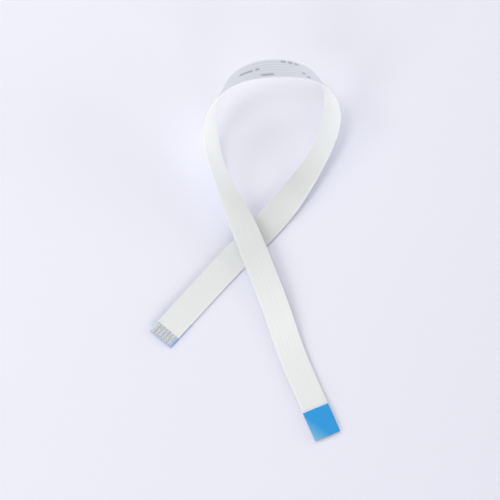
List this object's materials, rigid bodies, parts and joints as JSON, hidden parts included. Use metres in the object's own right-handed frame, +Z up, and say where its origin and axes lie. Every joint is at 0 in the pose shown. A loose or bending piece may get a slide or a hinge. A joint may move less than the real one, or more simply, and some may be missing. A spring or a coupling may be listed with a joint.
{
  "type": "flat flex cable",
  "caption": "Flat flex cable with bare contacts and a blue stiffener at each end, lying in a raised twisted loop with its legs crossed.",
  "frame": {"origin": "on the surface that the cable lies on, under the middle of its bounding box", "axes": "+Z up, +Y from the two ends towards the top of the loop, +X to the right as the end with its contacts up lies on the left"},
  "size_m": [0.0486, 0.0964, 0.022],
  "materials": {
    "film": "white PET film, satin",
    "stiffener": "blue PET tape, satin",
    "conductor": "tinned copper strip, rolled"
  },
  "bodies": {
    "root": {"top_film": "film", "bottom_film": "film", "contact_end_stiffener": "stiffener", "far_end_stiffener": "stiffener", "conductor_1": "conductor", "conductor_2": "conductor", "conductor_3": "conductor", "conductor_4": "conductor", "conductor_5": "conductor", "conductor_6": "conductor"}
  },
  "joints": []
}
